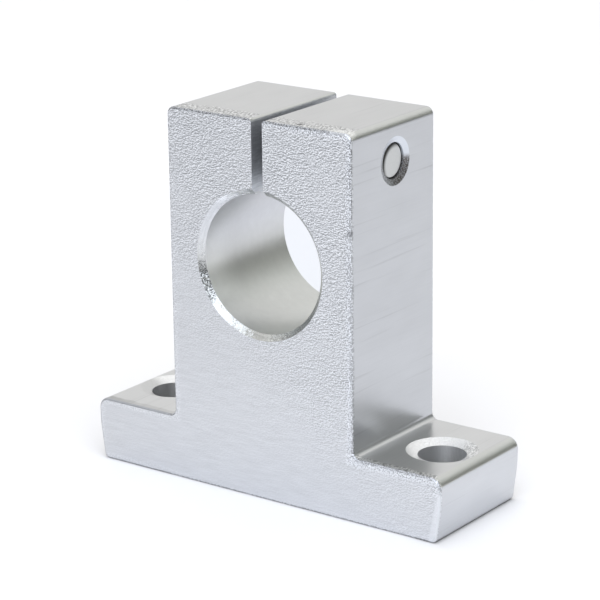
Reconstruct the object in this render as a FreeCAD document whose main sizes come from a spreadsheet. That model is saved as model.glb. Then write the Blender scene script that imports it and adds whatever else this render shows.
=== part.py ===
import FreeCAD, Part

import os
import re

import Sketcher

# Split support block for a 16 mm shaft, with its clamp screw, in millimetres.
# X runs along the base, Y along the shaft, Z up from the sole. The origin is the centre of the sole.
# The block is a length sawn off an aluminium extrusion, bored for the shaft and slit from the bore to the
# top. A socket head screw crosses the slit: its head sinks in the left ear, its thread is in the right ear.

# Driving sizes: name, value, what it measures
SIZES = [
    ("base_width", 48.0, "length of the base over both feet"),
    ("base_thickness", 7.5, "height of the feet"),
    ("post_width", 25.0, "width of the upright post"),
    ("block_height", 44.0, "sole to top face"),
    ("block_depth", 16.0, "length sawn off the extrusion"),
    ("top_radius", 0.9, "outer corners of the top"),
    ("foot_radius", 1.3, "upper corners of the feet"),
    ("crown_drop", 3.0, "top of the feet to where their ends start to lean in"),
    ("crown_radius", 15.0, "shallow bend in the ends of the feet, there"),
    ("foot_lean", 0.6, "how far the ends of the feet lean in at the sole"),
    ("sole_radius", 0.6, "lower corners of the feet"),
    ("inner_radius", 0.8, "inside corners between post and feet"),
    ("edge_radius", 0.25, "tumbled edges round both sawn faces"),
    ("bore_diameter", 16.0, "bore for the shaft"),
    ("bore_height", 27.5, "sole to bore axis"),
    ("bore_chamfer", 0.65, "chamfer at each end of the bore"),
    ("slit_width", 1.5, "saw cut from the bore to the top"),
    ("slit_lip", 0.4, "rounded lips of the saw cut at the top"),
    ("bolt_spacing", 38.0, "distance between the mounting holes"),
    ("bolt_hole", 5.5, "diameter of the mounting holes"),
    ("bolt_countersink", 8.1, "diameter of their countersinks"),
    ("countersink_angle", 135.0, "included angle of the countersinks, cut with a drill's point"),
    ("clamp_drop", 4.6, "top face down to the clamp screw's axis"),
    ("clamp_offset", 0.4, "how far the clamp screw was drilled behind the middle of the depth"),
    ("thread_diameter", 4.0, "outside of the clamp screw's thread"),
    ("thread_clearance", 0.05, "gap round the thread in the tapped ear"),
    ("ear_clearance", 0.25, "gap round the shank in the ear under the head"),
    ("thread_mouth", 5.5, "diameter of the countersink where the thread comes out"),
    ("head_diameter", 7.0, "screw head"),
    ("head_height", 4.0, "screw head"),
    ("head_clearance", 0.3, "gap round the head in its counterbore"),
    ("head_sink", 4.5, "depth of the counterbore"),
    ("head_bevel", 0.4, "bevel round the top of the head"),
    ("neck_radius", 0.2, "fillet between head and shank"),
    ("screw_length", 20.0, "under the head to the tip"),
    ("tip_chamfer", 0.15, "chamfer at the tip"),
    ("key_width", 3.0, "hexagon socket across its flats"),
    ("key_depth", 2.0, "depth of the socket's flats"),
    ("key_lead", 0.1, "how far the socket's mouth widens past its corners"),
    ("key_angle", 120.0, "included angle of the socket's mouth and of its drilled end"),
]
NAMES = {name for name, value, note in SIZES}
SHEET = "sizes"
NEAR = 1e-4
CLAMP_AXIS = ("clamp_offset", "block_height - clamp_drop")

V = FreeCAD.Vector
doc = FreeCAD.newDocument("shaft_support_block")


def make_sheet():
    """The sheet of driving sizes, one row each: what it measures, its value."""
    table = doc.addObject("Spreadsheet::Sheet", SHEET)
    for row, (name, value, note) in enumerate(SIZES, start=1):
        table.set(f"A{row}", note)
        table.set(f"B{row}", str(value))
        table.setAlias(f"B{row}", name)
    doc.recompute()
    return table


sheet = make_sheet()


def size(expression):
    """The value of an expression in the sheet's names."""
    return float(sheet.evalExpression(expression))


def tie(thing, prop, expression):
    """Binds one property to an expression in the sheet's names."""
    bound = re.sub(r"[a-z_]+", lambda word: f"{SHEET}.{word[0]}" if word[0] in NAMES else word[0], expression)
    thing.setExpression(prop, bound)


def new_body(label):
    body = doc.addObject("PartDesign::Body", label)
    body.Label = label
    return body


def new_sketch(body, name, role, offset=None):
    """A sketch on one of the body's own origin planes, moved along the plane's normal by an expression."""
    sketch = body.newObject("Sketcher::SketchObject", name)
    plane = next(f for f in body.Origin.OriginFeatures if f.Role == role)
    sketch.AttachmentSupport = [(plane, "")]
    sketch.MapMode = "FlatFace"
    if offset:
        tie(sketch, "AttachmentOffset.Base.z", offset)
    return sketch


def constrain(sketch, kind, geometry, expression):
    """One dimension of a sketch, tied to the sheet."""
    index = sketch.addConstraint(Sketcher.Constraint(kind, *geometry, size(expression)))
    tie(sketch, f"Constraints[{index}]", expression)


def outline(sketch, corners):
    """A closed outline. A corner is two expressions for its place, and one more for its radius if round."""
    count = len(corners)
    places = [V(size(corner[0]), size(corner[1]), 0) for corner in corners]
    for i in range(count):
        sketch.addGeometry(Part.LineSegment(places[i], places[(i + 1) % count]), False)
    for i, (x, y, *radius) in enumerate(corners):
        sketch.addConstraint(Sketcher.Constraint("Coincident", i, 2, (i + 1) % count, 1))
        constrain(sketch, "DistanceX", (-1, 1, i, 1), x)
        constrain(sketch, "DistanceY", (-1, 1, i, 1), y)
    for i, (x, y, *radius) in enumerate(corners):
        if radius:
            arc = sketch.GeometryCount
            sketch.fillet(i, 1, size(radius[0]), True, True)
            constrain(sketch, "Radius", (arc,), radius[0])


def both_sides(right):
    """A symmetric outline from its right half, which is listed from the bottom up."""
    return right + [(f"-({x})", *rest) for x, *rest in reversed(right)]


def circles(sketch, diameter, centres):
    """Circles of one diameter, tied to the sheet like their centres."""
    for i, (x, y) in enumerate(centres):
        sketch.addGeometry(Part.Circle(V(size(x), size(y), 0), V(0, 0, 1), size(diameter) / 2), False)
        constrain(sketch, "DistanceX", (-1, 1, i, 3), x)
        constrain(sketch, "DistanceY", (-1, 1, i, 3), y)
        constrain(sketch, "Diameter", (i,), diameter)


def feature(body, kind, name, sketch=None, ties=None, **settings):
    """A feature of the body, with its plain settings and the properties that are tied to the sheet."""
    made = body.newObject(f"PartDesign::{kind}", name)
    if sketch:
        made.Profile = sketch
    for prop, value in settings.items():
        setattr(made, prop, value)
    for prop, expression in (ties or {}).items():
        tie(made, prop, expression)
    doc.recompute()
    return made


def edge_names(solid, wanted):
    return [f"Edge{i}" for i, edge in enumerate(solid.Shape.Edges, start=1) if wanted(edge)]


def on_sawn_face(edge):
    """Whether an edge lies all in one of the two sawn faces."""
    face = size("block_depth / 2")
    box = edge.BoundBox
    return box.YLength < NEAR and abs(abs(box.YMin) - face) < NEAR


def extrude_profile(block):
    """The extrusion's section, an upright post on a base with two feet, and its tumbled sawn edges."""
    section = new_sketch(block, "section", "XZ_Plane")
    outline(section, both_sides([
        ("base_width / 2 - foot_lean", "0", "sole_radius"),
        ("base_width / 2", "base_thickness - crown_drop", "crown_radius"),
        ("base_width / 2", "base_thickness", "foot_radius"),
        ("post_width / 2", "base_thickness", "inner_radius"),
        ("post_width / 2", "block_height", "top_radius"),
    ]))
    length = feature(block, "Pad", "sawn_length", section, {"Length": "block_depth"}, SideType="Symmetric")
    edges = edge_names(length, on_sawn_face)
    feature(block, "Fillet", "tumbled_edges", None, {"Radius": "edge_radius"}, Base=(length, edges))


def bore_for_shaft(block):
    """The bore right through along Y, chamfered at both ends."""
    circle = new_sketch(block, "bore_circle", "XZ_Plane")
    circles(circle, "bore_diameter", [("0", "bore_height")])
    bore = feature(block, "Pocket", "bore", circle, SideType="Symmetric", Type="ThroughAll")

    def is_rim(edge):
        return on_sawn_face(edge) and abs(edge.BoundBox.XLength - size("bore_diameter")) < NEAR

    edges = edge_names(bore, is_rim)
    feature(block, "Chamfer", "bore_chamfers", None, {"Size": "bore_chamfer"}, Base=(bore, edges))


def saw_slit(block):
    """The saw cut from the bore up through the top, with rounded lips."""
    cut = new_sketch(block, "slit_outline", "XZ_Plane")
    past_lip = "slit_width / 2 + 2 * slit_lip"
    outline(cut, both_sides([
        ("slit_width / 2", "bore_height"),
        ("slit_width / 2", "block_height", "slit_lip"),
        (past_lip, "block_height"),
        (past_lip, "block_height + slit_lip"),
    ]))
    feature(block, "Pocket", "slit", cut, SideType="Symmetric", Type="ThroughAll")


def drill_feet(block):
    """A countersunk mounting hole down through each foot."""
    places = new_sketch(block, "bolt_places", "XY_Plane", "base_thickness")
    circles(places, "bolt_hole", [("-bolt_spacing / 2", "0"), ("bolt_spacing / 2", "0")])
    doc.recompute()
    feature(block, "Hole", "bolt_holes", places,
            {"Diameter": "bolt_hole", "HoleCutDiameter": "bolt_countersink",
             "HoleCutCountersinkAngle": "countersink_angle"},
            DepthType="ThroughAll", HoleCutType="Countersink", DrillPoint="Flat")


def drill_ears(block):
    """The clamp screw's holes: a counterbore and a clearance hole on the left, the thread's on the right."""
    left = new_sketch(block, "head_place", "YZ_Plane", "-post_width / 2")
    clearance = "thread_diameter + 2 * ear_clearance"
    circles(left, clearance, [CLAMP_AXIS])
    doc.recompute()
    feature(block, "Hole", "head_hole", left,
            {"Diameter": clearance, "Depth": "post_width / 2",
             "HoleCutDiameter": "head_diameter + 2 * head_clearance", "HoleCutDepth": "head_sink"},
            DepthType="Dimension", HoleCutType="Counterbore", DrillPoint="Flat", Reversed=True)
    right = new_sketch(block, "thread_place", "YZ_Plane", "post_width / 2")
    tapped = "thread_diameter + 2 * thread_clearance"
    circles(right, tapped, [CLAMP_AXIS])
    doc.recompute()
    feature(block, "Hole", "thread_hole", right,
            {"Diameter": tapped, "Depth": "post_width / 2", "HoleCutDiameter": "thread_mouth",
             "HoleCutCountersinkAngle": "countersink_angle"},
            DepthType="Dimension", HoleCutType="Countersink", DrillPoint="Flat")


def support_block():
    block = new_body("support_block")
    extrude_profile(block)
    bore_for_shaft(block)
    saw_slit(block)
    drill_feet(block)
    drill_ears(block)
    return block


def turn_screw(screw):
    """The screw's turned form about X, with its origin under the head and the shank towards +X."""
    half = new_sketch(screw, "turned_half", "XZ_Plane")
    outline(half, [
        ("-head_height", "0"),
        ("screw_length", "0"),
        ("screw_length", "thread_diameter / 2 - tip_chamfer"),
        ("screw_length - tip_chamfer", "thread_diameter / 2"),
        ("0", "thread_diameter / 2", "neck_radius"),
        ("0", "head_diameter / 2"),
        ("head_bevel - head_height", "head_diameter / 2"),
        ("-head_height", "head_diameter / 2 - head_bevel"),
    ])
    feature(screw, "Revolution", "turned_form", half, ReferenceAxis=(half, ["H_Axis"]), Angle=360)


def broach_socket(screw):
    """The hexagon socket: a drilled hole with a wide mouth and a cone at its end, then six flats."""
    drilled = new_sketch(screw, "drilled_half", "XZ_Plane")
    mouth = "key_width / sqrt(3) + key_lead"
    outline(drilled, [
        ("-head_height", "0"),
        ("key_depth - head_height + key_width / 2 / tan(key_angle / 2)", "0"),
        ("key_depth - head_height", "key_width / 2"),
        (f"({mouth} - key_width / 2) / tan(key_angle / 2) - head_height", "key_width / 2"),
        ("-head_height", mouth),
    ])
    feature(screw, "Groove", "drilled_socket", drilled, ReferenceAxis=(drilled, ["H_Axis"]), Angle=360)
    flats = new_sketch(screw, "hexagon", "YZ_Plane", "-head_height")
    turns = [60 * i for i in range(6)]
    outline(flats, [(f"key_width / sqrt(3) * cos({a})", f"key_width / sqrt(3) * sin({a})") for a in turns])
    feature(screw, "Pocket", "socket_flats", flats, {"Length": "key_depth"}, Reversed=True)


def clamp_screw():
    screw = new_body("clamp_screw")
    turn_screw(screw)
    broach_socket(screw)
    tie(screw, "Placement.Base.x", "head_sink - post_width / 2")
    for prop, expression in zip(("Placement.Base.y", "Placement.Base.z"), CLAMP_AXIS):
        tie(screw, prop, expression)
    return screw


def check_document(bodies):
    """Stops on a failed object, a cut that removes nothing, or a sub-part that isn't one valid solid."""
    for thing in doc.Objects:
        if "Invalid" in thing.State or "Error" in thing.State:
            raise RuntimeError(f"{thing.Name} failed: {thing.State}")
        if thing.TypeId in ("PartDesign::Pocket", "PartDesign::Groove", "PartDesign::Hole"):
            if thing.BaseFeature.Shape.Volume - thing.Shape.Volume < NEAR:
                raise RuntimeError(f"{thing.Name} cuts nothing")
    for body in bodies:
        shape = body.Shape
        if shape.isNull() or not shape.isValid() or len(shape.Solids) != 1:
            raise RuntimeError(f"{body.Label} is not one valid solid")


bodies = [support_block(), clamp_screw()]
doc.recompute()
check_document(bodies)
os.makedirs("parts", exist_ok=True)
for body in bodies:
    body.Shape.exportStep(f"parts/{body.Label}.step")
    print(body.Label, round(body.Shape.Volume, 1), "cubic mm,", len(body.Shape.Faces), "faces")
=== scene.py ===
import math
from collections import namedtuple

import bmesh
import bpy
from mathutils import Matrix, Vector


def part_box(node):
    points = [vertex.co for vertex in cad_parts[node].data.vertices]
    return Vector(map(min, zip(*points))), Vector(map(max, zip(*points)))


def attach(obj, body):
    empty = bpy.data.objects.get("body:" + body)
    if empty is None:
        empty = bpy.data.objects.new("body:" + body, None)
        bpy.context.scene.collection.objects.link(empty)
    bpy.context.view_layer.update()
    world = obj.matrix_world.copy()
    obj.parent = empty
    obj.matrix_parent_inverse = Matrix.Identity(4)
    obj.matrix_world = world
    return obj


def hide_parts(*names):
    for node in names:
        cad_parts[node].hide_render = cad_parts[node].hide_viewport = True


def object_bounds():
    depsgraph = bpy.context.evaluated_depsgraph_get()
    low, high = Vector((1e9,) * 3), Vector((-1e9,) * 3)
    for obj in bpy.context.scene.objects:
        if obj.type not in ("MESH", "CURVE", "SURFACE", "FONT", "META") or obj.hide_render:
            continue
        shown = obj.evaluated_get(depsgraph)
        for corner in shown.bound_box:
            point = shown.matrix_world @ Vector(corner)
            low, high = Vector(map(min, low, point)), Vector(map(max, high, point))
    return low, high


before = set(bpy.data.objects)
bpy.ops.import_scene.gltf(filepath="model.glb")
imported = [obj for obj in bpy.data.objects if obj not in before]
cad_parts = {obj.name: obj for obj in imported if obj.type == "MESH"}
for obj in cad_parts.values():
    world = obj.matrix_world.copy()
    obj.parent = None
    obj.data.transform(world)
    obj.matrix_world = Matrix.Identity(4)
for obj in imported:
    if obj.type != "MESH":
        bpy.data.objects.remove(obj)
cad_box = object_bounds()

# Split support block for a 16 mm shaft, dressed as in the photograph: the block keeps its solid, the clamp
# screw is modelled again with its thread, and a white studio stands round them. Lengths are in metres.

MM = 0.001


def mm(*values):
    """Lengths in millimetres, as metres."""
    return tuple(value * MM for value in values)


# Sizes of the block that its finishes are told apart by
HIGHEST = cad_box[1]
BASE_HALF = HIGHEST.x
DEPTH_HALF = HIGHEST.y
TOP = HIGHEST.z
POST_HALF = 12.5 * MM
FOOT_TOP = 7.5 * MM
BORE_RADIUS = 8.0 * MM
BORE_HEIGHT = 27.5 * MM
BORE_MOUTH = 8.75 * MM
SLIT_HALF = 0.75 * MM
FOOT_HOLE_X = 19.0 * MM
FOOT_HOLE_RADIUS = 2.75 * MM
FOOT_HOLE_MOUTH = 4.1 * MM
HEAD_HOLE_RADIUS = 3.8 * MM
FILLET = 1.0 * MM
CLOSE = 0.06 * MM

# Colours of the metals, linear
ALUMINIUM = (0.675, 0.69, 0.715)
WARM_ALUMINIUM = (0.70, 0.703, 0.70)
EDGE_ALUMINIUM = (0.695, 0.705, 0.68)
BORE_ALUMINIUM = (0.705, 0.72, 0.76)
STEEL = (0.56, 0.57, 0.565)
THREAD_SHADE_COLOUR = (0.02, 0.02, 0.018, 1.0)
BARE_COLOUR = (0.95, 0.95, 0.93, 1.0)

# Levels that a span runs between, and the range that most of a noise's values lie in
RISE = (0.0, 1.0)
FALL = (1.0, 0.0)
USUAL_NOISE = (0.3, 0.7)


# Node graphs

Place = namedtuple("Place", "point x y z")


class Graph:
    """A node tree that short calls add to. Most of them return the output of the node that they add."""

    def __init__(self, tree):
        self.tree = tree
        tree.nodes.clear()

    def add(self, kind, inputs, output=0, **settings):
        node = self.tree.nodes.new("ShaderNode" + kind)
        for name, value in settings.items():
            setattr(node, name, value)
        for name, value in inputs.items():
            if isinstance(value, bpy.types.NodeSocket):
                self.tree.links.new(value, node.inputs[name])
            else:
                node.inputs[name].default_value = value
        return node.outputs[output]

    def finish(self, shader, kind="OutputMaterial"):
        node = self.tree.nodes.new("ShaderNode" + kind)
        self.tree.links.new(shader, node.inputs["Surface"])

    def place(self):
        """The point on the piece, and its three coordinates."""
        point = self.add("TexCoord", {}, output="Object")
        split = self.add("SeparateXYZ", {"Vector": point}).node
        return Place(point, split.outputs["X"], split.outputs["Y"], split.outputs["Z"])

    def math(self, operation, a, b=0.0):
        return self.add("Math", {0: a, 1: b}, operation=operation)

    def plus(self, total, *others):
        for other in others:
            total = self.math("ADD", total, other)
        return total

    def times(self, total, *others):
        for other in others:
            total = self.math("MULTIPLY", total, other)
        return total

    def minus(self, a, b):
        return self.math("SUBTRACT", a, b)

    def rest(self, share):
        """What is left of 1."""
        return self.minus(1.0, share)

    def larger(self, a, b):
        return self.math("MAXIMUM", a, b)

    def smaller(self, a, b):
        return self.math("MINIMUM", a, b)

    def span(self, value, between, levels=RISE):
        """The value's range between two ends, eased, as a range between two levels."""
        ends = {"From Min": between[0], "From Max": between[1], "To Min": levels[0], "To Max": levels[1]}
        return self.add("MapRange", {"Value": value, **ends}, interpolation_type="SMOOTHSTEP")

    def vector(self, operation, a, b, output=0):
        return self.add("VectorMath", {0: a, 1: b}, output=output, operation=operation)

    def stretched(self, point, factors):
        return self.vector("MULTIPLY", point, factors)

    def distance(self, a, b):
        return self.vector("DISTANCE", a, b, output=1)

    def dot(self, a, b):
        return self.vector("DOT_PRODUCT", a, b, output=1)

    def scaled(self, vector, factor):
        return self.add("VectorMath", {0: vector, "Scale": factor}, operation="SCALE")

    def noise(self, point, size, detail=2.0, distortion=0.0, roughness=0.5, output=0):
        """Noise from 0 to 1 whose spots are about size wide."""
        form = {"Scale": 1.0 / size, "Detail": detail, "Roughness": roughness, "Distortion": distortion}
        return self.add("TexNoise", {"Vector": point, **form}, output=output)

    def mix(self, share, a, b):
        return self.add("Mix", {0: share, 6: a, 7: b}, output=2, data_type="RGBA")

    def bump(self, height, depth):
        return self.add("Bump", {"Height": height, "Distance": depth, "Strength": 1.0})


def new_material(name):
    material = bpy.data.materials.new(name)
    material.use_nodes = True
    return material, Graph(material.node_tree)


def metal(graph, colour, roughness, normal):
    values = {"Base Color": colour, "Metallic": 1.0, "Roughness": roughness, "Normal": normal}
    graph.finish(graph.add("BsdfPrincipled", values))


def tone(graph, share, levels, colour=ALUMINIUM):
    """The metal's colour, darkened or lightened between two levels."""
    level = graph.add("MapRange", {"Value": share, "To Min": levels[0], "To Max": levels[1]})
    return graph.scaled(colour, level)


def opaque(colour):
    return colour + (1.0,)


# Marks that several finishes share. Each nick has its place and the share of the colour that it leaves.

SPECK_DETAIL = 1.5
SPECK_ROUGHNESS = 0.6
SPECK_EDGE = (0.40, 0.60)
NICKS = ((mm(5.2, -7.1, 44.0), 0.15), (mm(12.3, -7.9, 33.1), 0.60))
NICK_EDGE = mm(0.22, 0.46)
WORN_CORNER = mm(11.2, -7.9, 43.9)
CORNER_STRETCH = (0.5, 0.65, 0.9)
CORNER_EDGE = mm(0.6, 1.1)
CORNER_RAGS = 0.6 * MM
CORNER_RAG_REACH = 1.2 * MM
NOISE_COLOUR_MEAN = (0.5, 0.5, 0.5)


def specks(graph, point, size):
    """Hard little specks, from 0 to 1."""
    return graph.span(graph.noise(point, size, SPECK_DETAIL, roughness=SPECK_ROUGHNESS), SPECK_EDGE)


def nicked(graph, point, colour):
    """The colour, and a dark one in the two nicks."""
    clear = 1.0
    for spot, left in NICKS:
        away = graph.distance(point, spot)
        clear = graph.times(clear, graph.span(away, NICK_EDGE, (left, 1.0)))
    return graph.scaled(colour, clear)


def worn_corner(graph, point):
    """1 at the worn corner at the top right of the front, and 0 away from it, with a ragged edge."""
    rags = graph.vector("SUBTRACT", graph.noise(point, CORNER_RAGS, output=1), NOISE_COLOUR_MEAN)
    moved = graph.vector("ADD", point, graph.scaled(rags, CORNER_RAG_REACH))
    middle = graph.stretched(WORN_CORNER, CORNER_STRETCH)
    away = graph.distance(graph.stretched(moved, CORNER_STRETCH), middle)
    return graph.span(away, CORNER_EDGE, FALL)


# The two sawn faces

GRAIN_SIZE = 0.13 * MM
GRAIN_DETAIL = 0.5
GRAIN_STRETCH = (0.5, 1.0, 1.0)
GRAIN_SHADOW = mm(0.02, 0.0, -0.07)
GRAIN_SHADE_EDGE = (-0.14, 0.14)
GRAIN_SHADE_SHARE = 0.9
DUST_SIZE = 0.09 * MM
DUST_STRETCH = (0.7, 1.0, 1.0)
DUST_EDGE = (0.35, 0.65)
DUST_SHARE = 0.9
GRAIN_MEAN = 0.93

# Where the grain is strong: it grows to the right and upwards, and is weak over the sole and in patches
GRAIN_LEAN = 0.8
GRAIN_REACH = mm(5.0, 36.0)
GRAIN_REACH_LEVELS = (0.14, 1.0)
GRAIN_RISE = mm(2.0, 14.0)
GRAIN_RISE_LEVELS = (0.55, 1.0)
GRAIN_PATCH = 5.0 * MM
GRAIN_PATCH_LEVELS = (0.7, 1.2)

# Faint streaks, and a plain facet where the right foot's front edge is worn away, brightened by a painted
# highlight
STREAK_SIZE = 0.40 * MM
STREAK_STRETCH = (0.12, 1.0, 1.0)
STREAK_SHARE = 0.32
STREAK_HEIGHT = 0.2
FACET_LEAN = 0.22
FACET_EDGE = mm(22.2, 22.6)
FACET_HIGHLIGHT_SHARE = 0.16

# The specked wear along the outline: mostly at the right and above the sole, and stronger upwards
WEAR_WIDTH = mm(0.35, 1.1)
WEAR_RIGHT = mm(-6.0, 10.0)
WEAR_RIGHT_LEVELS = (0.2, 1.0)
WEAR_LEAN = 0.15
WEAR_RISE = mm(1.5, 4.0)
WEAR_RISE_LEVELS = (0.1, 1.0)
WEAR_SPECK = 0.17 * MM
SPECK_MEAN_RISE = mm(12.0, 32.0)
SPECK_MEANS = (0.22, 0.42)
SPECK_RISE = mm(18.0, 34.0)
SPECK_LEVELS = (1.7, 2.7)

# The worn corner's share, and painted light and shade across the face, whose level grows to the right and
# falls upwards
SAWN_CORNER_SHARE = 0.24
SAWN_RISE = mm(8.0, 18.0)
SAWN_RISE_SHARES = (0.495, 0.44)
SAWN_SLOPE = 0.0024 / MM
SAWN_TONES = (0.62, 1.30)
SAWN_ROUGHNESS = (0.33, 0.41)
SAWN_DEPTH = 0.05 * MM


def outline_distance(graph, at):
    """How far a point of the sawn face is inside the section's outline."""
    side = graph.math("ABSOLUTE", at.x)
    post = graph.smaller(graph.minus(POST_HALF, side), graph.minus(TOP, at.z))
    base = graph.smaller(graph.minus(BASE_HALF, side), graph.minus(FOOT_TOP, at.z))
    return graph.smaller(graph.larger(post, base), at.z)


def grain_strength(graph, at, facet):
    reach = graph.span(graph.plus(at.z, graph.times(at.x, GRAIN_LEAN)), GRAIN_REACH, GRAIN_REACH_LEVELS)
    rise = graph.span(at.z, GRAIN_RISE, GRAIN_RISE_LEVELS)
    patches = graph.span(graph.noise(at.point, GRAIN_PATCH), USUAL_NOISE, GRAIN_PATCH_LEVELS)
    return graph.times(reach, rise, patches, graph.rest(facet))


def edge_wear(graph, at):
    """How worn the face is: 1 at its right and upper edges, and 0 away from the outline."""
    worn = graph.span(outline_distance(graph, at), WEAR_WIDTH, FALL)
    right = graph.span(at.x, WEAR_RIGHT, WEAR_RIGHT_LEVELS)
    upper = graph.span(graph.minus(at.z, graph.times(at.x, WEAR_LEAN)), WEAR_RISE, WEAR_RISE_LEVELS)
    return graph.times(worn, right, upper)


def sawn():
    """A fine grain with painted light and shade on each grain, strongest at the top right, that fades to
    faint streaks, and worn edges, over painted light and shade across the face and a painted highlight on the
    facet.
    """
    material, graph = new_material("sawn_aluminium")
    at = graph.place()
    facet = graph.span(graph.minus(at.x, graph.times(at.z, FACET_LEAN)), FACET_EDGE)
    strong = grain_strength(graph, at, facet)
    grit = graph.stretched(at.point, GRAIN_STRETCH)
    below = graph.vector("ADD", grit, GRAIN_SHADOW)
    dashes = graph.noise(grit, GRAIN_SIZE, GRAIN_DETAIL)
    # The grain's colour is painted light and shade: the noise less the same noise a little lower down, like a
    # relief lit from one side
    grain = graph.span(graph.minus(dashes, graph.noise(below, GRAIN_SIZE, GRAIN_DETAIL)), GRAIN_SHADE_EDGE)
    dust = graph.noise(graph.stretched(at.point, DUST_STRETCH), DUST_SIZE, detail=0.0)
    grain = graph.plus(graph.times(grain, GRAIN_SHADE_SHARE), graph.times(graph.span(dust, DUST_EDGE), DUST_SHARE))
    streaks = graph.noise(graph.stretched(at.point, STREAK_STRETCH), STREAK_SIZE)
    worn = edge_wear(graph, at)
    speck = specks(graph, at.point, WEAR_SPECK)
    height = graph.times(dashes, strong)
    height = graph.plus(height, graph.times(streaks, STREAK_HEIGHT), graph.times(speck, worn))
    flecks = graph.minus(speck, graph.span(at.z, SPECK_MEAN_RISE, SPECK_MEANS))
    share = graph.plus(
        graph.times(graph.minus(grain, GRAIN_MEAN), strong),
        graph.times(graph.minus(streaks, 0.5), STREAK_SHARE),
        graph.times(flecks, worn, graph.span(at.z, SPECK_RISE, SPECK_LEVELS)),
        # The facet's painted highlight
        graph.times(facet, FACET_HIGHLIGHT_SHARE),
        graph.times(worn_corner(graph, at.point), SAWN_CORNER_SHARE),
        # Painted light and shade: lighter to the right and darker upwards
        graph.span(at.z, SAWN_RISE, SAWN_RISE_SHARES),
        graph.times(at.x, SAWN_SLOPE),
    )
    colour = nicked(graph, at.point, tone(graph, share, SAWN_TONES))
    metal(graph, colour, graph.span(strong, RISE, SAWN_ROUGHNESS), graph.bump(height, SAWN_DEPTH))
    return material


# The faces of the extruded bar: lines, patches and scratches run along the bar

LINE_SIZE = 0.22 * MM
LINE_STRETCH = (1.0, 0.03, 1.0)
LINE_SHARE = 0.3
PATCH_SIZE = 3.0 * MM
PATCH_STRETCH = (1.0, 0.4, 1.0)
PATCH_SHARE = 0.7
SATIN_SHARE = 0.22
SCRATCH_SIZE = 0.40 * MM
SCRATCH_STRETCH = (1.0, 0.02, 1.0)
SCRATCH_EDGE = (0.58, 0.76)
DRAWN_DETAIL = 3.0

# The worn front end: END_EDGE is in shares of its width, and END_TURN is where dull wear turns to specks
END_RAGS = 1.5 * MM
END_EDGE = (0.3, 0.8)
END_TURN = mm(-8.0, 0.0)
END_SPECK = 0.20 * MM
END_SPECK_STRETCH = (1.0, 0.45, 1.0)
END_SPECK_SHARE = 1.3
END_SPECK_HEIGHT = 3.0
DULL_SHARE = 0.40
DULL_LEFT = mm(-23.5, -18.0)
DULL_LEFT_LEVELS = (1.2, 0.5)
DRAWN_BARE = (0.4, 0.9)
DRAWN_TONE = 0.35
DRAWN_ROUGHNESS = 0.29
DRAWN_DEPTH = 0.012 * MM

# Each kind of face: its material's name, level and colour, the width of its worn end, how specked that is
# at the left and at the right, where 0 is dull, and how strong the scratches are
# The levels are painted light and shade: the same drawn metal made lighter or darker by which way each face
# looks, lightest on the foot's ends and darkest on the top
DRAWN_FACES = {
    "top": ("drawn_aluminium_top", 0.775, WARM_ALUMINIUM, 2.2 * MM, (1.0, 1.0), 0.12),
    "foot_top": ("drawn_aluminium_foot", 0.865, WARM_ALUMINIUM, 0.9 * MM, (0.0, 1.0), 0.12),
    "rounded": ("drawn_aluminium_corner", 0.87, EDGE_ALUMINIUM, 0.5 * MM, (0.0, 1.0), 0.12),
    "side": ("drawn_aluminium_side", 0.80, ALUMINIUM, 0.4 * MM, (0.35, 0.35), 0.18),
    "end": ("drawn_aluminium_end", 0.925, ALUMINIUM, 0.3 * MM, (1.0, 1.0), 0.12),
}


def bare_share(graph, point, speck, shares):
    """How bare the metal is at the worn corner: shares between and in the specks."""
    specked = graph.plus(graph.times(speck, shares[1] - shares[0]), shares[0])
    return graph.times(worn_corner(graph, point), specked)


def drawn(name, level, colour, worn_width, specked, scratched):
    """A satin face of the bar with faint lines, soft patches and a worn front end, at a level of painted
    light and shade for its kind of face.
    """
    material, graph = new_material(name)
    at = graph.place()
    lines = graph.noise(graph.stretched(at.point, LINE_STRETCH), LINE_SIZE)
    patches = graph.noise(graph.stretched(at.point, PATCH_STRETCH), PATCH_SIZE, DRAWN_DETAIL)
    satin = graph.plus(graph.times(patches, PATCH_SHARE), graph.times(lines, LINE_SHARE))
    scratches = graph.noise(graph.stretched(at.point, SCRATCH_STRETCH), SCRATCH_SIZE, DRAWN_DETAIL)
    ragged = graph.times(graph.noise(at.point, END_RAGS), worn_width)
    from_end = graph.minus(graph.plus(at.y, DEPTH_HALF), ragged)
    worn = graph.span(from_end, (worn_width * END_EDGE[0], worn_width * END_EDGE[1]), FALL)
    hard = graph.span(at.x, END_TURN, specked)
    speck = specks(graph, graph.stretched(at.point, END_SPECK_STRETCH), END_SPECK)
    flecks = graph.times(graph.minus(speck, 0.5), hard, worn)
    dulled = graph.times(graph.rest(hard), worn, graph.span(at.x, DULL_LEFT, DULL_LEFT_LEVELS))
    share = graph.plus(graph.times(graph.minus(satin, 0.5), SATIN_SHARE), 0.5)
    share = graph.minus(share, graph.span(scratches, SCRATCH_EDGE, (0.0, scratched)))
    share = graph.minus(share, graph.times(dulled, DULL_SHARE))
    share = graph.plus(share, graph.times(flecks, END_SPECK_SHARE))
    # The level paints this face's light and shade
    tinted = tone(graph, share, (level - DRAWN_TONE, level + DRAWN_TONE), colour)
    bare = bare_share(graph, at.point, speck, DRAWN_BARE)
    tinted = nicked(graph, at.point, graph.mix(bare, tinted, BARE_COLOUR))
    height = graph.plus(satin, graph.times(flecks, END_SPECK_HEIGHT))
    metal(graph, tinted, DRAWN_ROUGHNESS, graph.bump(height, DRAWN_DEPTH))
    return material


# The bore's wall, with a painted highlight at its front left, most of all below the axis

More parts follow.
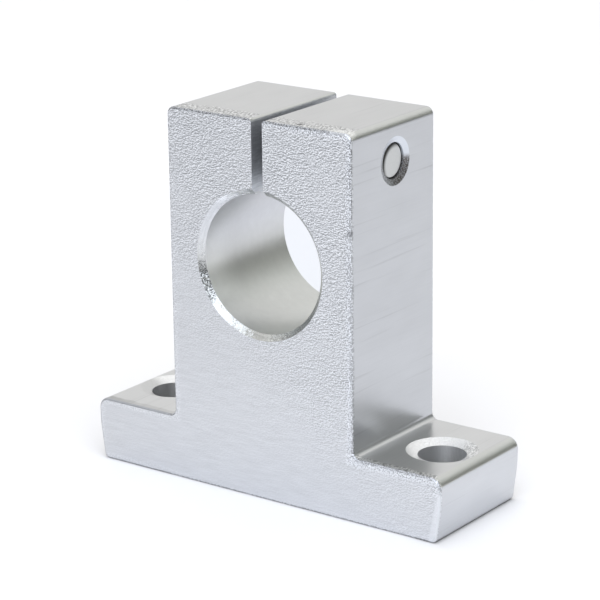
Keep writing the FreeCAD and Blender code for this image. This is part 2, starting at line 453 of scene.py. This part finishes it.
RING_SIZE = 0.12 * MM
RING_STRETCH = (0.02, 1.0, 0.02)
RING_HEIGHT = 0.4
BORE_SATIN = 0.8 * MM
BORE_SATIN_HEIGHT = 0.6
BORE_SATIN_SHARE = 0.10
BORE_HIGHLIGHT_FRONT = mm(-6.5, -1.5)
BORE_HIGHLIGHT_LEFT = mm(-7.5, -5.5)
BORE_HIGHLIGHT_RISE = mm(25.5, 27.5)
BORE_HIGHLIGHT_LEVELS = (0.24, 0.0)
BORE_HIGHLIGHT_LEAST = 0.16
BORE_TINT_RISE = mm(24.0, 31.0)
BORED_LEVEL = 0.845
BORED_ROUGHNESS = 0.36
BORED_DEPTH = 0.008 * MM


def bore_tint(graph, at, upper):
    """The edges' warm tint in the lower half of the bore, and the upper one above."""
    return graph.mix(graph.span(at.z, BORE_TINT_RISE), opaque(EDGE_ALUMINIUM), opaque(upper))


def bored():
    """Satin, with the fine rings that the boring tool leaves."""
    material, graph = new_material("bored_aluminium")
    at = graph.place()
    rings = graph.noise(graph.stretched(at.point, RING_STRETCH), RING_SIZE, detail=1.0)
    satin = graph.noise(at.point, BORE_SATIN)
    height = graph.plus(graph.times(rings, RING_HEIGHT), graph.times(satin, BORE_SATIN_HEIGHT))
    # A painted highlight at the front left, strongest below the axis
    painted_highlight = graph.times(graph.span(at.y, BORE_HIGHLIGHT_FRONT, FALL), graph.span(at.x, BORE_HIGHLIGHT_LEFT, FALL))
    painted_highlight = graph.times(painted_highlight, graph.plus(graph.span(at.z, BORE_HIGHLIGHT_RISE, BORE_HIGHLIGHT_LEVELS), BORE_HIGHLIGHT_LEAST))
    level = graph.plus(graph.times(satin, BORE_SATIN_SHARE), painted_highlight, BORED_LEVEL)
    colour = graph.scaled(bore_tint(graph, at, BORE_ALUMINIUM), level)
    metal(graph, colour, BORED_ROUGHNESS, graph.bump(height, BORED_DEPTH))
    return material


# The bore's chamfers: burred at the front left, where the tool dug in, with painted shade darkening the burrs
# there, and made lighter upwards and at the right and the top by painted light

CHATTER_SIZE = 0.28 * MM
CHATTER_ROUGHNESS = 0.6
CHATTER_SHARE = 0.5
CHATTER_PATCH = 3.0 * MM
CHATTER_PATCH_EDGE = (0.45, 0.6)
CHATTER_PATCH_LEVELS = (0.3, 1.0)
CUT_SIZE = 0.12 * MM
CUT_STRETCH = (0.05, 1.0, 0.05)
CUT_SHARE = 0.5
DUG_RISE = mm(21.2, 22.8)
DUG_FALL = mm(25.0, 27.8)
DUG_LEFT = mm(-7.0, -6.0)
DUG_FRONT = mm(-1.0, 1.0)
BURR_SIZE = 0.17 * MM
BURR_SHADE_SHARE = 0.8
LOW_LEFT = mm(-5.0, 2.5)
LOW_FALL = mm(20.0, 24.0)
LOW_SPECK = 0.25 * MM
LOW_SHARE = 0.15
CUT_TONE = 0.60
CUT_RISE = mm(23.0, 30.0)
CUT_RISE_LEVELS = (0.37, 0.70)
BRIGHT_RIGHT = mm(-0.5, 2.0)
BRIGHT_RISE = mm(33.5, 35.0)
BRIGHT_SHARE = 0.40
CHAMFERED_ROUGHNESS = 0.23
CHAMFERED_DEPTH = 0.07 * MM


def chamfered():
    """Freshly cut, with the tool's lines."""
    material, graph = new_material("chamfered_aluminium")
    at = graph.place()
    chatter = graph.noise(at.point, CHATTER_SIZE, roughness=CHATTER_ROUGHNESS)
    lines = graph.noise(graph.stretched(at.point, CUT_STRETCH), CUT_SIZE, detail=1.0)
    # Where the tool dug in: burrs, darkened there by painted shade
    dug_and_shaded = graph.times(graph.span(at.z, DUG_RISE), graph.span(at.z, DUG_FALL, FALL))
    dug_and_shaded = graph.times(dug_and_shaded, graph.span(at.x, DUG_LEFT, FALL), graph.span(at.y, DUG_FRONT, FALL))
    burrs = graph.times(graph.rest(specks(graph, at.point, BURR_SIZE)), dug_and_shaded)
    low = graph.times(graph.span(at.x, LOW_LEFT, FALL), graph.span(at.z, LOW_FALL, FALL))
    low = graph.times(low, specks(graph, at.point, LOW_SPECK))
    # A painted highlight at the right and the top
    bright = graph.larger(graph.span(at.x, BRIGHT_RIGHT), graph.span(at.z, BRIGHT_RISE))
    share = graph.plus(graph.times(chatter, CHATTER_SHARE), graph.times(lines, CUT_SHARE))
    # The level grows upwards: painted light
    level = graph.plus(graph.times(share, CUT_TONE), graph.span(at.z, CUT_RISE, CUT_RISE_LEVELS))
    level = graph.plus(level, graph.times(low, LOW_SHARE))
    level = graph.times(level, graph.plus(graph.times(bright, BRIGHT_SHARE), 1.0))
    # The burrs' painted shade
    level = graph.times(level, graph.rest(graph.times(burrs, BURR_SHADE_SHARE)))
    rough = graph.span(graph.noise(at.point, CHATTER_PATCH), CHATTER_PATCH_EDGE, CHATTER_PATCH_LEVELS)
    height = graph.times(chatter, rough, graph.plus(dug_and_shaded, low, 1.0))
    colour = graph.scaled(bore_tint(graph, at, ALUMINIUM), level)
    metal(graph, colour, CHAMFERED_ROUGHNESS, graph.bump(height, CHAMFERED_DEPTH))
    return material


# The cone where the clamp screw's tip shows. Its rise, back and pale ends are from the screw's axis.

MOUTH_DARK = (0.10, 0.088, 0.078, 1.0)
MOUTH_LIGHT = (0.68, 0.71, 0.76, 1.0)
MOUTH_RISE = mm(-0.3, 0.5)
MOUTH_BACK = mm(-1.8, 0.5)
MOUTH_BACK_LEVELS = (0.7, 1.0)
MOUTH_DIRT = 0.16 * MM
MOUTH_DIRT_SHARE = 0.4
MOUTH_PALE = mm(-1.4, 0.8)
MOUTH_PALE_LEVELS = (0.40, 0.0)
MOUTH_OUT = mm(11.88, 12.00)
MOUTH_ROUGHNESS = 0.35
MOUTH_DEPTH = 0.01 * MM


def about(middle, between):
    """Two ends that are given from a middle."""
    return tuple(middle + end for end in between)


def mouthed(screw_axis):
    """Bright above, rough and dirty below, and dark with painted shadow in the gap round the screw."""
    material, graph = new_material("screw_mouth_aluminium")
    at = graph.place()
    level = graph.span(at.z, about(screw_axis.z, MOUTH_RISE))
    level = graph.times(level, graph.span(at.y, about(screw_axis.y, MOUTH_BACK), MOUTH_BACK_LEVELS))
    dirt = specks(graph, at.point, MOUTH_DIRT)
    paler = graph.span(at.y, about(screw_axis.y, MOUTH_PALE), MOUTH_PALE_LEVELS)
    dull = graph.plus(graph.times(dirt, MOUTH_DIRT_SHARE), paler)
    share = graph.plus(level, graph.times(dull, graph.rest(level)))
    # A painted shadow: dark at the cone's inner end, in the gap round the screw
    share = graph.times(share, graph.span(at.x, MOUTH_OUT))
    colour = graph.mix(share, MOUTH_DARK, MOUTH_LIGHT)
    metal(graph, colour, MOUTH_ROUGHNESS, graph.bump(dirt, MOUTH_DEPTH))
    return material


# The countersinks of the feet: the right one is burred at its right, and the left one is dull in front

SINK_BURR = 0.22 * MM
SINK_BURR_RIGHT = mm(19.0, 21.5)
SINK_BURR_LEVELS = (0.12, 1.0)
SINK_RIGHT = mm(-10.0, 0.0)
SINK_BACK = mm(0.0, 2.0)
SINK_BACK_LEVELS = (0.28, 1.0)
SINK_TONES = (0.70, 1.36)
SINK_ROUGHNESS = 0.28
SINK_DEPTH = 0.02 * MM


def countersunk():
    """Bright, with burrs."""
    material, graph = new_material("countersunk_aluminium")
    at = graph.place()
    burrs = specks(graph, at.point, SINK_BURR)
    rough = graph.span(at.x, SINK_BURR_RIGHT, SINK_BURR_LEVELS)
    share = graph.rest(graph.times(graph.rest(burrs), rough))
    clean = graph.larger(graph.span(at.x, SINK_RIGHT), graph.span(at.y, SINK_BACK, SINK_BACK_LEVELS))
    share = graph.times(share, clean)
    colour = tone(graph, share, SINK_TONES, WARM_ALUMINIUM)
    metal(graph, colour, SINK_ROUGHNESS, graph.bump(burrs, SINK_DEPTH))
    return material


# The tumbled edges: smooth at the worn facet and at the back, calm on the left foot, specked elsewhere, and
# darker along the top by painted shade

DENT_SIZE = 0.30 * MM
DENT_DISTORTION = 0.6
DENT_ROUGHNESS = 0.65
SMOOTH_RIGHT = mm(22.3, 22.8)
SMOOTH_FALL = mm(5.5, 6.5)
SMOOTH_BACK = mm(-1.0, 1.0)
SMOOTH_BACK_LEVELS = (0.0, 0.6)
CALM_LEFT = mm(-14.0, -13.0)
CALM_SHARE = 0.45
EDGE_SPECK = 0.18 * MM
EDGE_LEAST_RISE = mm(32.0, 40.0)
EDGE_LEAST = (0.35, 0.0)
EDGE_TOP_RISE = mm(43.3, 43.7)
EDGE_TOP_LEVELS = (1.0, 0.75)
EDGE_BARE = (0.6, 1.0)
EDGE_TONES = (0.30, 1.12)
EDGE_ROUGHNESS = 0.45
EDGE_DEPTH = 0.09 * MM


def deburred():
    """Nicked and specked."""
    material, graph = new_material("deburred_aluminium")
    at = graph.place()
    dents = graph.noise(at.point, DENT_SIZE, distortion=DENT_DISTORTION, roughness=DENT_ROUGHNESS)
    smooth = graph.times(graph.span(at.x, SMOOTH_RIGHT), graph.span(at.z, SMOOTH_FALL, FALL))
    smooth = graph.larger(smooth, graph.span(at.y, SMOOTH_BACK, SMOOTH_BACK_LEVELS))
    calm = graph.span(at.x, CALM_LEFT, FALL)
    speck = graph.times(specks(graph, at.point, EDGE_SPECK), graph.rest(calm))
    share = graph.larger(graph.plus(speck, graph.times(calm, CALM_SHARE)), smooth)
    share = graph.larger(share, graph.span(at.z, EDGE_LEAST_RISE, EDGE_LEAST))
    # Painted shade: darker along the top edge
    share = graph.times(share, graph.span(at.z, EDGE_TOP_RISE, EDGE_TOP_LEVELS))
    share = graph.larger(share, bare_share(graph, at.point, speck, EDGE_BARE))
    colour = nicked(graph, at.point, tone(graph, share, EDGE_TONES))
    metal(graph, colour, EDGE_ROUGHNESS, graph.bump(dents, EDGE_DEPTH))
    return material


# Walls of the drilled holes: a painted highlight in the middle of a foot's hole, and painted shade at its
# sides

DRILL_SIZE = 0.25 * MM
DRILL_STRETCH = (1.0, 1.0, 0.2)
DRILL_LEVELS = (0.7, 1.0)
DRILL_BRIGHT = mm(0.8, 2.6)
DRILL_TONES = (0.98, 1.46)
DRILL_ROUGHNESS = 0.40
DRILL_DEPTH = 0.01 * MM


def drilled():
    """Dull, with the drill's marks."""
    material, graph = new_material("drilled_aluminium")
    at = graph.place()
    marks = graph.noise(graph.stretched(at.point, DRILL_STRETCH), DRILL_SIZE)
    off_centre = graph.math("ABSOLUTE", graph.minus(graph.math("ABSOLUTE", at.x), FOOT_HOLE_X))
    share = graph.span(marks, USUAL_NOISE, DRILL_LEVELS)
    # Painted light and shade: bright in the middle of a foot's hole and darker at its sides
    share = graph.times(share, graph.span(off_centre, DRILL_BRIGHT, FALL))
    colour = tone(graph, share, DRILL_TONES, WARM_ALUMINIUM)
    metal(graph, colour, DRILL_ROUGHNESS, graph.bump(marks, DRILL_DEPTH))
    return material


# The saw cut's walls: painted light near the bore, fading to painted shade towards the top

SAW_SIZE = 0.2 * MM
SAW_STRETCH = (1.0, 0.15, 1.0)
SAW_LEVELS = (0.92, 1.08)
SAW_RISE = mm(35.6, 38.6)
SAW_RISE_LEVELS = (1.38, 0.78)
SAW_ROUGHNESS = 0.5
SAW_DEPTH = 0.03 * MM


def slit():
    """Dull, with the saw's marks."""
    material, graph = new_material("slit_aluminium")
    at = graph.place()
    marks = graph.noise(graph.stretched(at.point, SAW_STRETCH), SAW_SIZE)
    # Painted light near the bore, fading to painted shade towards the top
    level = graph.span(at.z, SAW_RISE, SAW_RISE_LEVELS)
    level = graph.times(level, graph.span(marks, USUAL_NOISE, SAW_LEVELS))
    metal(graph, graph.scaled(ALUMINIUM, level), SAW_ROUGHNESS, graph.bump(marks, SAW_DEPTH))
    return material


# The clamp screw's steel, with painted shade in the thread's roots and in a ring round the tip that leans to
# one side

STEEL_MARK = 0.25 * MM
STEEL_DETAIL = 3.0
STEEL_TONES = (0.92, 1.06)
STEEL_ROUGHNESS = 0.28
STEEL_DEPTH = 0.006 * MM
ACROSS_SCREW = (0.0, 1.0, 1.0)
ROOTS_START = mm(-4.0, -3.0)
ROOTS_END = mm(11.5, 11.7)
ROOT_EDGE = mm(1.60, 1.85)
ROOT_LEVELS = (0.8, 0.0)
TIP_LEAN = (0.0, -0.48, 0.36)
TIP_EDGE = mm(1.45, 2.35)
TIP_STARTS = mm(11.6, 11.8)


def bright_steel(screw_axis):
    """Plated and lightly turned."""
    material, graph = new_material("bright_steel")
    at = graph.place()
    marks = graph.noise(at.point, STEEL_MARK, STEEL_DETAIL)
    flat = graph.stretched(at.point, ACROSS_SCREW)
    away = graph.distance(flat, screw_axis)
    # Painted shade in the thread's roots, and in a ring round the tip
    roots = graph.times(graph.span(at.x, ROOTS_START), graph.span(at.x, ROOTS_END, FALL))
    roots = graph.times(roots, graph.span(away, ROOT_EDGE, ROOT_LEVELS))
    leaning = graph.dot(graph.vector("SUBTRACT", flat, screw_axis), TIP_LEAN)
    tip = graph.times(graph.span(graph.plus(away, leaning), TIP_EDGE), graph.span(at.x, TIP_STARTS))
    colour = graph.mix(graph.larger(roots, tip), tone(graph, marks, STEEL_TONES, STEEL), THREAD_SHADE_COLOUR)
    metal(graph, colour, STEEL_ROUGHNESS, graph.bump(marks, STEEL_DEPTH))
    return material


# Which finish each face of the block has, told by its middle and by how far its normal faces along an axis

FACING = 0.98
NEARLY_FACING = 0.97
MOSTLY = 0.7
HARDLY = 0.3
LEANING = 0.05


def finish_of(centre, normal, screw_axis):
    """The name of the finish at a face with this middle and normal."""
    from_bore = math.hypot(centre.x, centre.z - BORE_HEIGHT)
    from_foot_hole = math.hypot(abs(centre.x) - FOOT_HOLE_X, centre.y)
    from_screw = math.hypot(centre.y - screw_axis.y, centre.z - screw_axis.z)
    across, endwise, upright = (abs(value) for value in normal)
    if endwise > FACING and abs(centre.y) > DEPTH_HALF - CLOSE:
        return "sawn"
    above_bore = centre.z > BORE_HEIGHT + BORE_RADIUS - CLOSE
    if abs(centre.x) < SLIT_HALF + CLOSE and across > MOSTLY and above_bore:
        return "slit"
    if from_bore < BORE_RADIUS + CLOSE:
        return "bored"
    if from_bore < BORE_MOUTH and endwise > LEANING:
        return "chamfered"
    if from_foot_hole < FOOT_HOLE_RADIUS + CLOSE and upright < HARDLY:
        return "drilled"
    if from_foot_hole < FOOT_HOLE_MOUTH and LEANING < upright < FACING:
        return "countersunk"
    if from_screw < HEAD_HOLE_RADIUS + CLOSE and across < FACING:
        return "mouthed" if centre.x > 0.0 else "drilled"
    if endwise > LEANING:
        return "deburred"
    if across > NEARLY_FACING or normal.z < 0.0:
        return "end" if abs(centre.x) > BASE_HALF - FILLET else "side"
    if abs(centre.x) < POST_HALF + FILLET and centre.z < FOOT_TOP + FILLET:
        return "foot_top" if normal.z > MOSTLY else "side"
    if normal.z > NEARLY_FACING:
        return "top" if centre.z > TOP - CLOSE else "foot_top"
    return "rounded"


def dress_block(block, screw_axis):
    """Gives each face of the block its finish."""
    finishes = {
        **{face: drawn(*values) for face, values in DRAWN_FACES.items()},
        "sawn": sawn(),
        "bored": bored(),
        "chamfered": chamfered(),
        "countersunk": countersunk(),
        "deburred": deburred(),
        "drilled": drilled(),
        "slit": slit(),
        "mouthed": mouthed(screw_axis),
    }
    mesh = block.data
    mesh.materials.clear()
    for material in finishes.values():
        mesh.materials.append(material)
    order = list(finishes)
    for face in mesh.polygons:
        face.material_index = order.index(finish_of(face.center, face.normal, screw_axis))


# The clamp screw: lengths and radii of its head, its socket, its thread and the fillet at its neck

HEAD_LENGTH = 4.0 * MM
HEAD_RADIUS = 3.5 * MM
HEAD_BEVEL = 0.4 * MM
BEVEL_MIDDLE = 0.3 * HEAD_BEVEL
UNDER_BEVEL_HEIGHT = 0.5 * HEAD_BEVEL
UNDER_BEVEL_WIDTH = 0.6 * HEAD_BEVEL
KNURL_RIDGES = 60
KNURL_DEPTH = 0.10 * MM
SOCKET_SIDES = 6
SOCKET_FLATS = 3.0 * MM
SOCKET_DEPTH = 2.0 * MM
SOCKET_LEAD = 0.1 * MM
SOCKET_BOTTOM = 0.49 * SOCKET_FLATS
SOCKET_CONE = 0.8 * MM
THREAD_RADIUS = 2.0 * MM
THREAD_ROOT = 1.57 * MM
PITCH = 0.7 * MM
STEPS_PER_PITCH = 12
CREST_SHARE = 0.125
ROOT_SHARE = 0.25
NECK = 0.2 * MM
NECK_NARROWS = 0.2 * NECK
NECK_ROUND = 0.3 * NECK
NECK_END = 3.0 * NECK
THREAD_START = 4.0 * NECK
TIP_CHAMFER = 0.15 * MM
HEAD_SEGMENTS = 240
SHANK_SEGMENTS = 60
SHARP_ANGLE = math.radians(32.0)


def from_middle(phase):
    """0 in the middle of a whole step, and 1 at both its ends."""
    return abs(phase % 1.0 - 0.5) * 2.0


def thread_radius(along, turn):
    """The thread's radius at a distance along the shank and a share of a turn round it."""
    flank = (from_middle(along / PITCH - turn) - CREST_SHARE) / (1.0 - CREST_SHARE - ROOT_SHARE)
    return THREAD_RADIUS - (THREAD_RADIUS - THREAD_ROOT) * min(max(flank, 0.0), 1.0)


def knurl_radius(turn):
    return HEAD_RADIUS - KNURL_DEPTH * from_middle(turn * KNURL_RIDGES)


def hexagon_radius(turn):
    from_flat = (turn * SOCKET_SIDES) % 1.0 - 0.5
    return SOCKET_FLATS / 2.0 / math.cos(from_flat * 2.0 * math.pi / SOCKET_SIDES)


def plain(radius):
    """The same radius all round."""
    return lambda turn: radius


def head_rows():
    """(place, radius at a share of a turn) for each ring of the head, from the bottom of its socket outwards.
    Places are along the screw, from the head's underside towards the tip."""
    top = -HEAD_LENGTH
    corner = SOCKET_FLATS / math.sqrt(3.0)
    return [
        (top + SOCKET_DEPTH, plain(SOCKET_BOTTOM)),
        (top + SOCKET_DEPTH, hexagon_radius),
        (top + SOCKET_LEAD * 2.0, hexagon_radius),
        (top, plain(corner + SOCKET_LEAD)),
        (top, plain(HEAD_RADIUS - HEAD_BEVEL)),
        (top + BEVEL_MIDDLE, plain(HEAD_RADIUS - BEVEL_MIDDLE)),
        (top + HEAD_BEVEL, knurl_radius),
        (-UNDER_BEVEL_HEIGHT, knurl_radius),
        (0.0, plain(HEAD_RADIUS - UNDER_BEVEL_WIDTH)),
    ]


def shank_radius(along, turn, length):
    """The thread's radius, growing from the root at its start and running out to full width at the tip."""
    begun = min(1.0, (along - THREAD_START) / PITCH)
    left = min(1.0, (length - along) / PITCH)
    radius = THREAD_ROOT + begun * (thread_radius(along, turn) - THREAD_ROOT)
    return THREAD_RADIUS - left * (THREAD_RADIUS - radius)


def shank_rows(length):
    """The rings of the shank, from under the head to the tip."""
    rows = [
        (0.0, plain(THREAD_RADIUS - NECK_NARROWS)),
        (NECK, plain(THREAD_ROOT + NECK)),
        (NECK_END, plain(THREAD_ROOT + NECK_ROUND)),
    ]
    count = int((length - TIP_CHAMFER - THREAD_START) / PITCH * STEPS_PER_PITCH)
    for step in range(count):
        along = THREAD_START + step * PITCH / STEPS_PER_PITCH
        rows.append((along, lambda turn, at=along: shank_radius(at, turn, length)))
    rows.append((length - TIP_CHAMFER, plain(THREAD_RADIUS)))
    rows.append((length, plain(THREAD_RADIUS - TIP_CHAMFER)))
    return rows


def ring(mesh, along, radius, segments, origin):
    """A ring of points about the screw's axis."""
    points = []
    for step in range(segments):
        turn = step / segments
        angle = turn * 2.0 * math.pi
        reach = radius(turn)
        spoke = Vector((along, reach * math.cos(angle), reach * math.sin(angle)))
        points.append(mesh.verts.new(origin + spoke))
    return points


def skin(mesh, first, second):
    """Faces between two rings. The first may have a whole multiple of the second's points."""
    many, few = len(first), len(second)
    share = many // few
    for step in range(few):
        start = step * share
        outer = [first[(start + k) % many] for k in range(share + 1)]
        mesh.faces.new([second[step]] + outer + [second[(step + 1) % few]])


def cap(mesh, edge, centre, flip):
    """Faces from a ring to a point in its middle."""
    for step, point in enumerate(edge):
        corners = [point, edge[(step + 1) % len(edge)], centre]
        mesh.faces.new(corners[::-1] if flip else corners)


def clamp_screw(low, high, material):
    """The hexagon socket head screw, in place of its plain solid."""
    origin = Vector((low.x + HEAD_LENGTH, (low.y + high.y) / 2.0, (low.z + high.z) / 2.0))
    length = high.x - origin.x
    mesh = bmesh.new()
    head = [ring(mesh, along, radius, HEAD_SEGMENTS, origin) for along, radius in head_rows()]
    shank = [ring(mesh, along, radius, SHANK_SEGMENTS, origin) for along, radius in shank_rows(length)]
    rings = head + shank
    for first, second in zip(rings, rings[1:]):
        skin(mesh, first, second)
    bottom = mesh.verts.new(origin + Vector((-HEAD_LENGTH + SOCKET_DEPTH + SOCKET_CONE, 0.0, 0.0)))
    cap(mesh, rings[0], bottom, False)
    tip = mesh.verts.new(origin + Vector((length, 0.0, 0.0)))
    cap(mesh, rings[-1], tip, True)
    bmesh.ops.recalc_face_normals(mesh, faces=mesh.faces)
    data = bpy.data.meshes.new("hexagon_screw")
    mesh.to_mesh(data)
    mesh.free()
    data.materials.append(material)
    data.shade_smooth()
    data.set_sharp_from_angle(angle=SHARP_ANGLE)
    piece = place_object("hexagon_screw", data)
    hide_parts("clamp_screw")
    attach(piece, "screw")


# The white paper floor: a painted contact shadow close round the sole, and a painted shade, a little bluer,
# where the bore frames it

FLOOR_COLOUR = (0.88, 0.865, 0.85, 1.0)
FLOOR_RADIUS = 4.0
FLOOR_SEGMENTS = 64
CONTACT_SHADOW_COLOUR = (0.05, 0.052, 0.05, 1.0)
SOLE_HALF_WIDTH = 22.9 * MM
SOLE_HALF_DEPTH = 7.75 * MM
CONTACT_NARROWS = 2.0
CONTACT_KEEPS = 0.37
CONTACT_WIDTH = 0.55 * MM
CONTACT_RIGHT = mm(19.0, 23.0)
CONTACT_LEVELS = (0.32, 0.9)
BROAD_WIDTH = 1.2 * MM
BROAD_RIGHT = mm(15.0, 24.0)
BROAD_LEVELS = (0.0, 0.3)
FRAMED_SHADE_COLOUR = (0.765, 0.77, 0.785, 1.0)
FRAMED_SPOT = mm(-56.0, 77.0, 0.0)
FRAMED_ACROSS = (0.804, 0.595, 0.0)
FRAMED_ALONG = (-0.595, 0.804, 0.0)
FRAMED_WIDTH = mm(3.8, 9.0)
FRAMED_LENGTH = mm(24.0, 38.0)


def place_object(name, data):
    item = bpy.data.objects.new(name, data)
    bpy.context.scene.collection.objects.link(item)
    return item


def contact_shade(graph, at):
    """How dark the painted contact shadow on the floor is outwards from the sole: in a narrow line, and in a
    broader one at the right.
    """
    outside = []
    for value, half in ((at.x, SOLE_HALF_WIDTH), (at.y, SOLE_HALF_DEPTH)):
        outside.append(graph.larger(graph.minus(graph.math("ABSOLUTE", value), half), 0.0))
    outside[1] = graph.times(outside[1], CONTACT_NARROWS)
    squares = [graph.math("POWER", value, 2.0) for value in outside]
    away = graph.math("SQRT", graph.plus(*squares))
    narrow = graph.math("POWER", CONTACT_KEEPS, graph.math("DIVIDE", away, CONTACT_WIDTH))
    broad = graph.math("POWER", CONTACT_KEEPS, graph.math("DIVIDE", away, BROAD_WIDTH))
    narrow = graph.times(narrow, graph.span(at.x, CONTACT_RIGHT, CONTACT_LEVELS))
    broad = graph.times(broad, graph.span(at.x, BROAD_RIGHT, BROAD_LEVELS))
    return graph.larger(narrow, broad)


def framed_share(graph, at):
    """1 on the part of the floor that the bore frames in the photograph, where a painted shade lies, and 0
    away from it.
    """
    framed = graph.vector("SUBTRACT", at.point, FRAMED_SPOT)
    across = graph.math("ABSOLUTE", graph.dot(framed, FRAMED_ACROSS))
    along = graph.math("ABSOLUTE", graph.dot(framed, FRAMED_ALONG))
    return graph.times(graph.span(across, FRAMED_WIDTH, FALL), graph.span(along, FRAMED_LENGTH, FALL))


def floor_paper():
    material, graph = new_material("floor_paper")
    at = graph.place()
    # Painted shade, a little bluer, where the bore frames the floor
    colour = graph.mix(framed_share(graph, at), FLOOR_COLOUR, FRAMED_SHADE_COLOUR)
    # A painted contact shadow round the sole
    colour = graph.mix(contact_shade(graph, at), colour, CONTACT_SHADOW_COLOUR)
    graph.finish(graph.add("BsdfDiffuse", {"Color": colour}))
    return material


def make_floor():
    mesh = bpy.data.meshes.new("floor")
    build = bmesh.new()
    bmesh.ops.create_circle(build, cap_ends=True, segments=FLOOR_SEGMENTS, radius=FLOOR_RADIUS)
    build.to_mesh(mesh)
    build.free()
    mesh.materials.append(floor_paper())
    place_object("floor", mesh)


# Light: a white surround, one large softbox, and curved cards that show in the metal but not to the camera

WHITE = (1.0, 1.0, 1.0, 1.0)
LOOK_AT = Vector(mm(0.0, 0.0, 20.0))
KEY_DIRECTION = Vector((0.40, -0.60, 0.69))
KEY_DISTANCE = 1.2
KEY_SIZE = 1.6
KEY_POWER = 12.0
KEY_COLOUR = (0.88, 0.97, 1.15)
CARD_RADIUS = 0.9
CARD_STEPS = 24
CARD_DARK_SHARE = 0.15

# Each card: its name, two compass angles, two elevations, and its colours below and at the top
CARDS = (
    ("back_card", (20.0, 80.0), (0.0, 40.0), (0.245, 0.245, 0.215), (0.86, 0.86, 0.81)),
    ("right_card", (-50.0, 20.0), (0.0, 16.0), (0.05, 0.05, 0.048), (0.12, 0.12, 0.12)),
    ("front_card", (-175.0, -95.0), (2.0, 32.0), (0.20, 0.20, 0.20), (0.20, 0.20, 0.20)),
)


def make_world():
    world = bpy.data.worlds.new("white_studio")
    bpy.context.scene.world = world
    world.use_nodes = True
    graph = Graph(world.node_tree)
    graph.finish(graph.add("Background", {"Color": WHITE, "Strength": 1.0}), "OutputWorld")


def make_key():
    lamp = bpy.data.lights.new("key_softbox", "AREA")
    lamp.shape = "SQUARE"
    lamp.size = KEY_SIZE
    lamp.energy = KEY_POWER
    lamp.color = KEY_COLOUR
    softbox = place_object("key_softbox", lamp)
    away = KEY_DIRECTION.normalized()
    softbox.location = LOOK_AT + away * KEY_DISTANCE
    softbox.rotation_euler = away.to_track_quat("Z", "Y").to_euler()
    softbox.visible_camera = False


def make_card(name, compass, elevations, below, above):
    """A curved card round the object. It fades upwards from one colour to the other."""
    bottom, top = (CARD_RADIUS * math.tan(math.radians(angle)) for angle in elevations)
    start, end = compass
    points = []
    for step in range(CARD_STEPS + 1):
        angle = math.radians(start + (end - start) * step / CARD_STEPS)
        for height in (bottom, top):
            points.append((CARD_RADIUS * math.cos(angle), CARD_RADIUS * math.sin(angle), height))
    faces = [(2 * k, 2 * k + 2, 2 * k + 3, 2 * k + 1) for k in range(CARD_STEPS)]
    mesh = bpy.data.meshes.new(name)
    mesh.from_pydata(points, [], faces)
    card = place_object(name, mesh)
    material, graph = new_material(name)
    fade = (bottom + (top - bottom) * CARD_DARK_SHARE, top)
    shade = graph.mix(graph.span(graph.place().z, fade), opaque(below), opaque(above))
    graph.finish(graph.add("BsdfDiffuse", {"Color": shade}))
    mesh.materials.append(material)
    card.visible_camera = False


# The photograph's camera: its place is from LOOK_AT, along its own axes

CAMERA_AZIMUTH = 36.535
CAMERA_ELEVATION = 17.265
CAMERA_ROLL = -0.726
CAMERA_PLACE = Vector(mm(-0.279, 1.450, 290.876))
LENS = 153.85
CLIP_START = 10.0 * MM


def make_camera():
    camera = place_object("camera", bpy.data.cameras.new("camera"))
    camera.data.lens = LENS
    camera.data.clip_start = CLIP_START
    turn = Matrix.Rotation(math.radians(CAMERA_AZIMUTH), 4, "Z")
    tilt = Matrix.Rotation(math.radians(90.0 - CAMERA_ELEVATION), 4, "X")
    roll = Matrix.Rotation(math.radians(CAMERA_ROLL), 4, "Z")
    camera.matrix_world = Matrix.Translation(LOOK_AT) @ turn @ tilt @ roll @ Matrix.Translation(CAMERA_PLACE)
    bpy.context.scene.camera = camera


screw_low, screw_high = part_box("clamp_screw")
screw_middle = (screw_low + screw_high) / 2.0
screw_axis = Vector((0.0, screw_middle.y, screw_middle.z))
dress_block(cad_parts["support_block"], screw_axis)
clamp_screw(screw_low, screw_high, bright_steel(screw_axis))
make_floor()
make_world()
make_key()
for card in CARDS:
    make_card(*card)
make_camera()
bpy.context.scene.view_settings.view_transform = "Standard"
